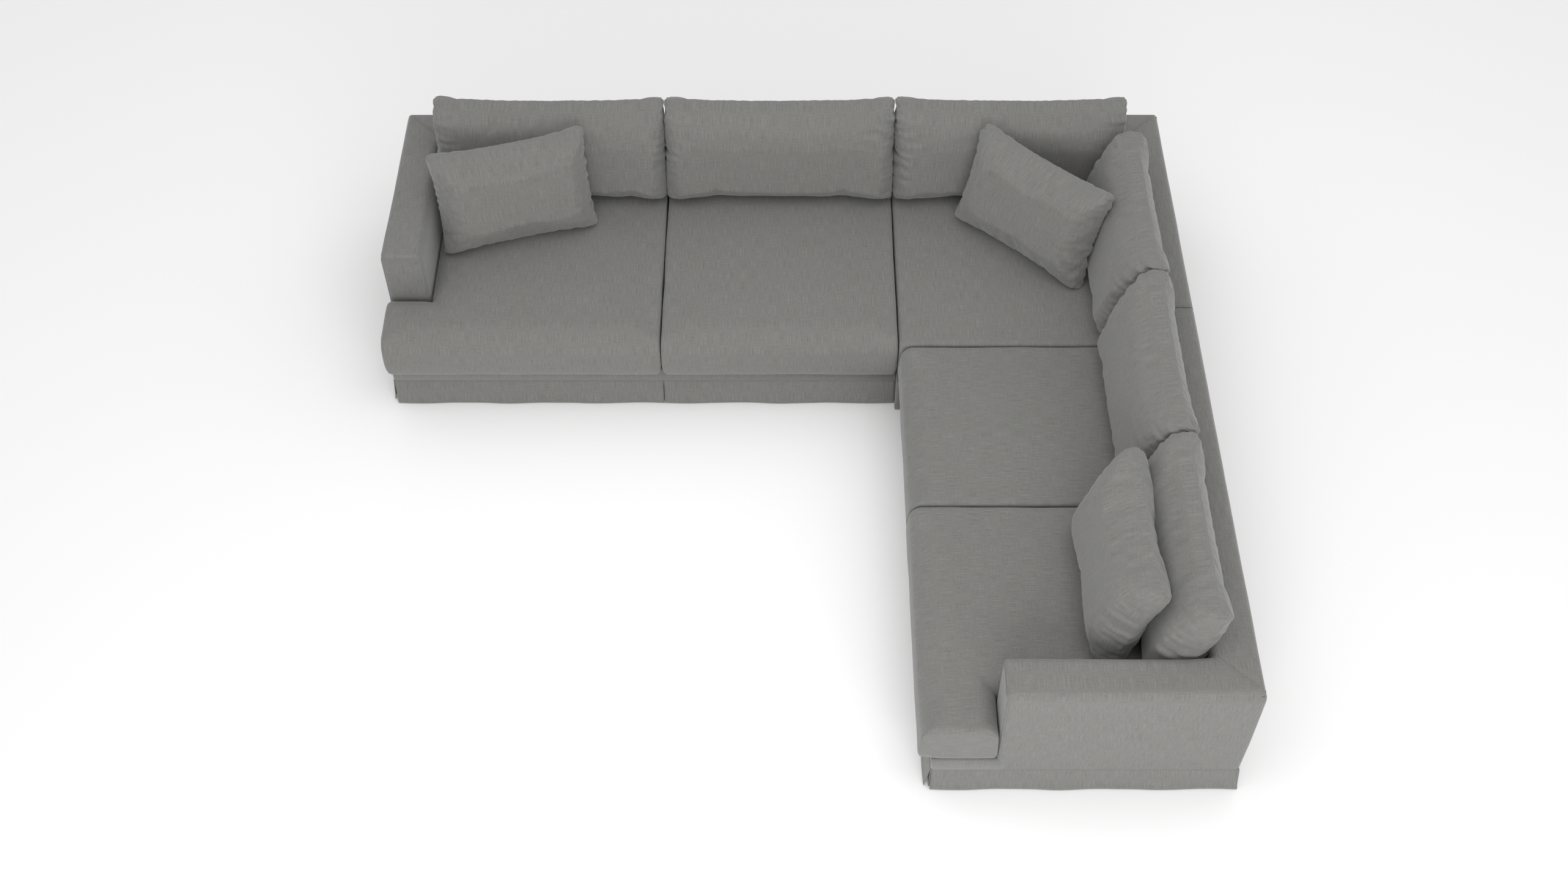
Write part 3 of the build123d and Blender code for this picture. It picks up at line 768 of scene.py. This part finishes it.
def notch_of(arm, sign_x, sign_y):
    """Inside corner of a seat's plan beside an arm, clear of the arm's cover."""
    low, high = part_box(f"{arm}_arm_cover")
    x = high.x if sign_x < 0 else low.x
    y = low.y if sign_y > 0 else high.y
    return (x - sign_x * NEIGHBOUR_GAP, y - sign_y * NEIGHBOUR_GAP), (sign_x, sign_y)


LONG_RUN = {"west": "side", "east": "side", "south": "front", "north": "rear"}
SHORT_RUN = {"west": "front", "east": "rear", "south": "side", "north": "side"}
CORNER = {"west": "side", "east": "rear", "south": "side", "north": "rear"}
seats = [
    seat_cushion("left_seat_end", LONG_RUN, notch_of("left", -1, 1)),
    seat_cushion("left_seat_mid", LONG_RUN),
    seat_cushion("corner_seat", CORNER),
    seat_cushion("right_seat_mid", SHORT_RUN),
    seat_cushion("right_seat_end", SHORT_RUN, notch_of("right", 1, -1)),
]
stuffed_ones = [back_cushion(body) for body in ("left_back_end", "left_back_mid", "corner_back_rear",
                                                "corner_back_side", "right_back_mid", "right_back_end")]
stuffed_ones += [pillow(body) for body in ("left_pillow", "corner_pillow", "right_pillow")]
settle(stuffed_ones)
for made in seats + stuffed_ones:
    finished(made)


# Frame covers


def box_mapped(piece):
    """Cloth coordinates by the side that each face looks to."""
    mesh = piece.data
    layer = mesh.uv_layers.new(name=WEAVE)
    points = points_of(mesh)
    uvs = np.zeros((len(mesh.loops), 2), np.float32)
    for polygon in mesh.polygons:
        n = polygon.normal
        size = (abs(n.x), abs(n.y), abs(n.z))
        pick = {0: (1, 2), 1: (0, 2), 2: (0, 1)}[size.index(max(size))]
        for loop in polygon.loop_indices:
            uvs[loop] = points[mesh.loops[loop].vertex_index][list(pick)]
    layer.uv.foreach_set("vector", uvs.ravel())


def mesh_of(name, shape):
    mesh = bpy.data.meshes.new(name)
    shape.to_mesh(mesh)
    shape.free()
    return mesh


def remeshed(name, shape):
    """A closed bmesh as an even mesh of small quads."""
    cut = bpy.data.objects.new(f"{name}_cut", mesh_of(f"{name}_cut", shape))
    scene.collection.objects.link(cut)
    modifier = cut.modifiers.new("Remesh", "REMESH")
    modifier.mode = "VOXEL"
    modifier.voxel_size = COVER_VOXEL
    made = bpy.data.meshes.new_from_object(cut.evaluated_get(bpy.context.evaluated_depsgraph_get()))
    bpy.data.objects.remove(cut)
    made.name = name
    return linked(name, made, LINEN)


def bevelled(shape, edges, offset, segments):
    bmesh.ops.bevel(shape, geom=edges, offset=offset, offset_type="OFFSET", segments=segments, profile=0.5,
                    affect="EDGES")


def softened(points, top, axis, place, rear):
    """Points with the top edge of an arm's inner side rounded. That side faces up the axis and ends at
    the rear."""
    across = points[:, axis] - place + ARM_SOFT
    up = points[:, 2] - top + ARM_SOFT
    near = (across > 0) & (up > 0)
    turn = np.where(near, np.maximum(across, up) / np.maximum(np.hypot(across, up), 1e-9), 1.0)
    drawn = ARM_SOFTNESS * (1 - turn) * eased(rear - points[:, 1 - axis], ARM_FADE)
    points[:, axis] -= across * drawn
    points[:, 2] -= up * drawn
    return points


def cover_shape(plan, low, high, joints, front):
    """The squared form of an arm and back with round edges, cut off at the joints."""
    shape = bmesh.new()
    face = shape.faces.new([shape.verts.new((x, y, low)) for x, y in plan])
    raised = bmesh.ops.extrude_face_region(shape, geom=[face])
    bmesh.ops.translate(shape, verts=[v for v in raised["geom"] if isinstance(v, bmesh.types.BMVert)],
                        vec=(0, 0, high - low))
    bmesh.ops.recalc_face_normals(shape, faces=shape.faces)
    upright = [e for e in shape.edges if e.is_convex and abs(e.verts[0].co.z - e.verts[1].co.z) > UPRIGHT]
    bevelled(shape, upright, COVER_CORNER, CORNER_STEPS)

    def at_front(edge):
        return bool(front) and all(abs(v.co[front[0]] - front[1]) < FRONT_REACH for v in edge.verts)

    def rim(near):
        """Edges of the top face, those at the arm's front or the others."""
        top = [e for e in shape.edges if min(v.co.z for v in e.verts) > high - TOP_REACH]
        return [e for e in top if at_front(e) == near]

    if front:
        bevelled(shape, rim(True), COVER_TIGHT, CORNER_STEPS)
    bevelled(shape, rim(False), COVER_EDGE, EDGE_STEPS)
    for axis, place, side in joints:
        bmesh.ops.bisect_plane(shape, geom=shape.verts[:] + shape.edges[:] + shape.faces[:],
                               plane_co=Vector(axis) * place, plane_no=Vector(axis) * side, clear_outer=True)
        bmesh.ops.holes_fill(shape, edges=[e for e in shape.edges if e.is_boundary])
    return shape


def cover(side, plan, joints, stands_for, front=None, inner=None):
    """The upholstered arm and back of a module as one soft form. Joints are the (axis, place, side) of
    the ends that meet the next module, where the plan runs on past the cut. Front is the (axis, place)
    of the arm's front panel, whose seam keeps its top edge tight, and inner is the (axis, place, rear)
    of its inner side."""
    low = cover_low - COVER_TUCK
    piece = remeshed(f"{side}_frame_cover", cover_shape(plan, low, cover_high, joints, front))
    points = points_of(piece.data)
    if inner:
        points = softened(points, cover_high, *inner)
        set_points(piece.data, points)
    swell = sum(share * sway(points, wavelength, seed) for share, wavelength, seed in COVER_SWELLS)
    upper = eased(points[:, 2] - low, COVER_RISE)
    normals = normals_of(piece.data)
    points += normals * (upper * (COVER_FULL + swell * COVER_SWAY))[:, None]
    points[:, 2] += np.maximum(normals[:, 2], 0) * COVER_CROWN
    set_points(piece.data, points)
    box_mapped(piece)
    handed_over(piece, f"{side}_module", COVER_FILL, *(f"{side}_{node}" for node in stands_for))
    return piece


def seam_line(name, piece, side, points, steps):
    """A sewn seam laid on a piece's surface along straight runs between points."""
    tree = BVHTree.FromObject(piece, bpy.context.evaluated_depsgraph_get())
    path = []
    for start, end in zip(points, points[1:]):
        path += [Vector(start).lerp(Vector(end), i / steps) for i in range(steps + 1)]
    laid = [tree.find_nearest(p)[0] for p in path]
    thinned = [laid[0]] + [p for before, p in zip(laid, laid[1:]) if (p - before).length > SEAM_STEP]
    seam = tube(name, thinned, SEAM_WIDTH / 2, LINEN)
    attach(seam, f"{side}_module")


def mitre_seam(side, piece, inner, outer):
    """The seam across the top at an outer corner."""
    seam_line(f"{side}_mitre_seam", piece, side, [(*inner, cover_high), (*outer, cover_high)], MITRE_STEPS)


def arm_front_seam(side, piece, corner_a, corner_b, back):
    """The seam round an arm's front panel: up one side, over the top and down the other."""
    low = cover_low + PANEL_SEAM_LOW
    into = Vector(back) * COVER_TIGHT * 0.5
    a = Vector(corner_a) + into
    b = Vector(corner_b) + into
    path = [(*a, low), (*a, cover_high), (*b, cover_high), (*b, low)]
    seam_line(f"{side}_arm_front_seam", piece, side, path, PANEL_STEPS)


(x_west, arm_front_y, _), (arm_inner_x, _, _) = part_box("left_arm_cover")
(_, back_inner_y, cover_low), (left_end, y_north, cover_high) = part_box("left_back_cover")
(arm_front_x, y_south, _), (_, arm_inner_y, _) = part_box("right_arm_cover")
(back_inner_x, _, _), (_, right_end, _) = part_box("right_back_cover")
(_, corner_south, _), (x_east, _, _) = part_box("corner_side_cover")
corner_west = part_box("corner_rear_cover")[0].x

past_left = left_end + COVER_SPARE
past_right = right_end + COVER_SPARE
past_west = corner_west - COVER_SPARE
past_south = corner_south - COVER_SPARE
left_cover = cover(
    "left", [(x_west, arm_front_y), (arm_inner_x, arm_front_y), (arm_inner_x, back_inner_y),
             (past_left, back_inner_y), (past_left, y_north), (x_west, y_north)],
    [(EAST, left_end, 1)], ["arm_cover", "back_cover", "padding"],
    (1, arm_front_y), (0, arm_inner_x, back_inner_y))
right_cover = cover(
    "right", [(arm_front_x, y_south), (x_east, y_south), (x_east, past_right),
              (back_inner_x, past_right), (back_inner_x, arm_inner_y), (arm_front_x, arm_inner_y)],
    [(NORTH, right_end, 1)], ["arm_cover", "back_cover", "padding"],
    (0, arm_front_x), (1, arm_inner_y, back_inner_x))
corner_cover = cover(
    "corner", [(past_west, back_inner_y), (back_inner_x, back_inner_y), (back_inner_x, past_south),
               (x_east, past_south), (x_east, y_north), (past_west, y_north)],
    [(EAST, corner_west, -1), (NORTH, corner_south, -1)], ["side_cover", "rear_cover", "padding"])

mitre_seam("left", left_cover, (arm_inner_x, back_inner_y), (x_west, y_north))
mitre_seam("corner", corner_cover, (back_inner_x, back_inner_y), (x_east, y_north))
mitre_seam("right", right_cover, (back_inner_x, arm_inner_y), (x_east, y_south))
arm_front_seam("left", left_cover, (x_west, arm_front_y), (arm_inner_x, arm_front_y), (0, 1))
arm_front_seam("right", right_cover, (arm_front_x, y_south), (arm_front_x, arm_inner_y), (1, 0))


# Decks and front bands


def platform(side, low, high):
    """The lining that the seat cushions lie on: lightly padded, and dipped between the webbing straps."""
    low, high = Vector(low), Vector(high)

    def heights(x, y):
        edge = np.minimum(np.minimum(x - low.x, high.x - x), np.minimum(y - low.y, high.y - y))
        straps = np.cos(2 * math.pi * x / STRAP_PITCH) + np.cos(2 * math.pi * y / STRAP_PITCH)
        dip = PLATFORM_DIP * (1 - straps / 2) / 2 * eased(edge, STRAP_PITCH)
        return (high.z - low.z) * rolled(edge, *PLATFORM_EDGE) - dip, np.zeros_like(x)

    def place(x, y, z):
        return np.stack([x, y, low.z + z], 1)

    lines = [np.linspace(l, h, round((h - l) / PLATFORM_PITCH) + 1) for l, h in zip(low[:2], high[:2])]
    piece = sewn(f"{side}_platform", *lines, heights, place, material=LINING)["piece"]
    handed_over(piece, f"{side}_module", DECK_FILL, f"{side}_deck")


def thickened(piece, cloth):
    """Gives a single layer of mesh the thickness of cloth, on its inner side."""
    wall = piece.modifiers.new("Cloth", "SOLIDIFY")
    wall.thickness = cloth
    wall.offset = -1


def band(side, low, high):
    """The cloth band that shows between the seat cushions and the skirt, with the deck's front edge. It
    is open below, at the rear and at the joint."""
    shape = bmesh.new()
    bmesh.ops.create_cube(shape, size=1.0)
    for vert in shape.verts:
        vert.co = Vector([l + (h - l) * (c + 0.5) for l, h, c in zip(low, high, vert.co)])
    shape.normal_update()
    away = [f for f in shape.faces if any(f.normal.dot(Vector(d)) > 0.9 for d in (DOWN, NORTH, EAST))]
    bmesh.ops.delete(shape, geom=away, context="FACES")
    bevelled(shape, [e for e in shape.edges if len(e.link_faces) == 2], BAND_EDGE, BAND_STEPS)
    piece = linked(f"{side}_band", mesh_of(f"{side}_band", shape), LINEN)
    piece.data.set_sharp_from_angle(angle=math.radians(BAND_CREASE))
    box_mapped(piece)
    thickened(piece, BAND_CLOTH)
    handed_over(piece, f"{side}_module", DECK_FILL, f"{side}_deck")


(_, front_y, _), (_, _, deck_top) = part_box("left_deck")
front_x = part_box("right_deck")[0].x
(_, _, deck_low), (tuck_x, tuck_y, _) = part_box("corner_deck")
band_low = cover_low - COVER_TUCK
tuck_west = arm_inner_x - (tuck_x - back_inner_x)
tuck_south = arm_inner_y - (tuck_x - back_inner_x)
platform("left", (tuck_west, arm_front_y, deck_low), (left_end, tuck_y, deck_top))
platform("right", (arm_front_x, tuck_south, deck_low), (tuck_x, right_end, deck_top))
platform("corner", (corner_west, corner_south, deck_low), (tuck_x, tuck_y, deck_top))
band("left", (x_west - BAND_OUT, front_y, band_low), (left_end, arm_front_y + BAND_UNDER, deck_top))
band("right", (front_x, y_south - BAND_OUT, band_low), (arm_front_x + BAND_UNDER, right_end, deck_top))


# Skirt


def panel_points(start, along, length, columns, outward, top, flare, swing, closed):
    """Points of a hanging panel, row by row from its seam down to its hem."""
    folds = max(2, round(length / SKIRT_FOLD))
    points = []
    for j in range(PANEL_ROWS + 1):
        share = j / PANEL_ROWS
        z = top + (hem - top) * share
        proud = SKIRT_PROUD + (HEM_CLOTH if hem + HEM_HEIGHT > z else 0.0) if j else -SKIRT_SEWN
        for i in range(columns + 1):
            s = length * i / columns
            ripple = noise.noise(Vector((s * FOLD_NOISE[0], share * FOLD_NOISE[1], folds))) * swing
            wave = math.sin(math.pi * folds * s / length) * swing + ripple * math.sin(math.pi * i / columns)
            out = proud + flare * share + wave * share ** SWING_POWER
            run_on = out * (closed[1] * i - closed[0] * (columns - i)) / columns
            points.append(start + along * (s + run_on) + outward * out + Vector((0, 0, z)))
    return points


def cloth_panel(name, side, start, end, outward, top, flare=0.0, swing=0.0, closed=(0, 0)):
    """A hanging panel from start to end, sewn along its top. Its hem swings in soft folds and is turned
    up. An end that is closed runs out to meet the next panel at the corner."""
    start, end, outward = Vector((*start, 0)), Vector((*end, 0)), Vector(outward)
    length = (end - start).length
    along = (end - start) / length
    columns = max(LEAST_COLUMNS, round(length / PANEL_PITCH))
    points = panel_points(start, along, length, columns, outward, top, flare, swing, closed)
    turned = along.cross(Vector(UP)).dot(outward) < 0
    faces, uvs = [], []
    for j in range(PANEL_ROWS):
        for i in range(columns):
            quad = [(i, j), (i, j + 1), (i + 1, j + 1), (i + 1, j)][::-1 if turned else 1]
            faces.append(tuple(b * (columns + 1) + a for a, b in quad))
            uvs += [(length * a / columns, (top - hem) * b / PANEL_ROWS) for a, b in quad]
    panel = new_object(name, points, faces, LINEN, uvs)
    thickened(panel, SKIRT_CLOTH)
    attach(panel, f"{side}_module")
    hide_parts(f"{side}_skirt")


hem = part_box("left_skirt")[0].z - HEM_LOWER
skirt_top = cover_low - SKIRT_DROP
left_middle = (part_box("left_seat_end_cover")[1].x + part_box("left_seat_mid_cover")[0].x) / 2
right_middle = (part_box("right_seat_end_cover")[1].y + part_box("right_seat_mid_cover")[0].y) / 2
SKIRT = [
    ("front_end", "left", (x_west + SLIT, front_y), (left_middle - SLIT / 2, front_y), SOUTH, (0, 0)),
    ("front_mid", "left", (left_middle + SLIT / 2, front_y), (left_end, front_y), SOUTH, (0, 0)),
    ("side", "left", (x_west, front_y + SLIT), (x_west, y_north), WEST, (0, 1)),
    ("rear", "left", (x_west, y_north), (left_end, y_north), NORTH, (1, 0)),
    ("rear", "corner", (corner_west, y_north), (x_east, y_north), NORTH, (0, 1)),
    ("side", "corner", (x_east, corner_south), (x_east, y_north), EAST, (0, 1)),
    ("rear", "right", (x_east, y_south), (x_east, right_end), EAST, (1, 0)),
    ("side", "right", (front_x + SLIT, y_south), (x_east, y_south), SOUTH, (0, 1)),
    ("front_end", "right", (front_x, y_south + SLIT), (front_x, right_middle - SLIT / 2), WEST, (0, 0)),
    ("front_mid", "right", (front_x, right_middle + SLIT / 2), (front_x, right_end), WEST, (0, 0)),
]
for part, side, start, end, outward, closed in SKIRT:
    cloth_panel(f"{side}_skirt_{part}", side, start, end, outward, skirt_top, SKIRT_FLARE[part], SKIRT_SWING,
                closed)

# Flat cloth behind the open corners and slits, and round the corner module's inside corner
flap_front_y = front_y + FLAP_BEHIND
flap_front_x = front_x + FLAP_BEHIND
flap_west_x = x_west + FLAP_BEHIND
flap_south_y = y_south + FLAP_BEHIND
FLAPS = [
    ("flap_south", "left", (x_west, flap_front_y), (x_west + FLAP, flap_front_y), SOUTH),
    ("flap_west", "left", (flap_west_x, front_y), (flap_west_x, front_y + FLAP), WEST),
    ("flap_middle", "left", (left_middle - FLAP, flap_front_y), (left_middle + FLAP, flap_front_y), SOUTH),
    ("flap_middle", "right", (flap_front_x, right_middle - FLAP), (flap_front_x, right_middle + FLAP), WEST),
    ("flap_south", "right", (front_x, flap_south_y), (front_x + FLAP, flap_south_y), SOUTH),
    ("flap_west", "right", (flap_front_x, y_south), (flap_front_x, y_south + FLAP), WEST),
]
for part, side, start, end, outward in FLAPS:
    cloth_panel(f"{side}_{part}", side, start, end, outward, skirt_top)
inside = (corner_west, corner_south)
cloth_panel("corner_nib_west", "corner", inside, (corner_west, front_y), WEST, deck_low)
cloth_panel("corner_nib_south", "corner", inside, (front_x, corner_south), SOUTH, deck_low)


# Timber, feet, webbing and steel keep their CAD shapes


def dressed(node, material):
    piece = frame["nodes"][node]
    piece.data.materials.clear()
    piece.data.materials.append(material)


for side in ("left", "right", "corner"):
    dressed(f"{side}_upper_frame", TIMBER)
    dressed(f"{side}_rails", TIMBER)
    dressed(f"{side}_feet", FOOT_WOOD)
    dressed(f"{side}_webbing", WEBBING)
dressed("left_hooks", STEEL)
dressed("right_hooks", STEEL)
dressed("corner_keepers", STEEL)


# Stage


def floor_material():
    """Pale floor that the camera sees as white where nothing shades it."""
    material, tree, shader = node_tree("pale_floor")
    grain = tree.nodes.new("ShaderNodeTexNoise")
    grain.inputs["Scale"].default_value = 3.0
    coloured(tree, shader, grain.outputs["Fac"], (0.90, 0.90, 0.90), (0.92, 0.92, 0.92))
    shader.inputs["Roughness"].default_value = 0.9
    shader.inputs["Specular IOR Level"].default_value = 0.0
    path = tree.nodes.new("ShaderNodeLightPath")
    shader.inputs["Emission Color"].default_value = (1, 1, 1, 1)
    glow = math_node(tree, "MULTIPLY", path.outputs["Is Camera Ray"], FLOOR_GLOW)
    link(tree, glow, shader.inputs["Emission Strength"])
    return material


def stage():
    """The floor, and a white world that is brighter where it is seen."""
    half = FLOOR_HALF
    floor = new_object("floor", [(-half, -half, 0), (half, -half, 0), (half, half, 0), (-half, half, 0)],
                       [(0, 1, 2, 3)], floor_material())
    world = bpy.data.worlds.new("studio")
    world.use_nodes = True
    scene.world = world
    tree = world.node_tree
    background = tree.nodes["Background"]
    path = tree.nodes.new("ShaderNodeLightPath").outputs
    mirrored = math_node(tree, "MAXIMUM", path["Is Glossy Ray"], path["Is Transmission Ray"])
    seen = math_node(tree, "MAXIMUM", path["Is Camera Ray"], mirrored)
    background.inputs["Color"].default_value = (1, 1, 1, 1)
    link(tree, math_node(tree, "MULTIPLY_ADD", seen, SKY_SEEN, SKY), background.inputs["Strength"])


def placed(name, data, place, turn):
    holder = bpy.data.objects.new(name, data)
    holder.location = place
    holder.rotation_euler = turn
    scene.collection.objects.link(holder)
    return holder


def area_light(name, place, target, size, power):
    lamp = bpy.data.lights.new(name, "AREA")
    lamp.shape = "RECTANGLE"
    lamp.size, lamp.size_y = size
    lamp.energy = power
    placed(name, lamp, place, (Vector(target) - Vector(place)).to_track_quat("-Z", "Y").to_euler())


def camera():
    lens = bpy.data.cameras.new("camera")
    lens.sensor_width = CAMERA_SENSOR
    lens.lens = CAMERA_LENS
    scene.camera = placed("camera", lens, CAMERA_PLACE, (math.radians(90 - CAMERA_PITCH), 0, 0))


stage()
for lamp_row in LAMPS:
    area_light(*lamp_row)
camera()
scene.view_settings.view_transform = "Standard"
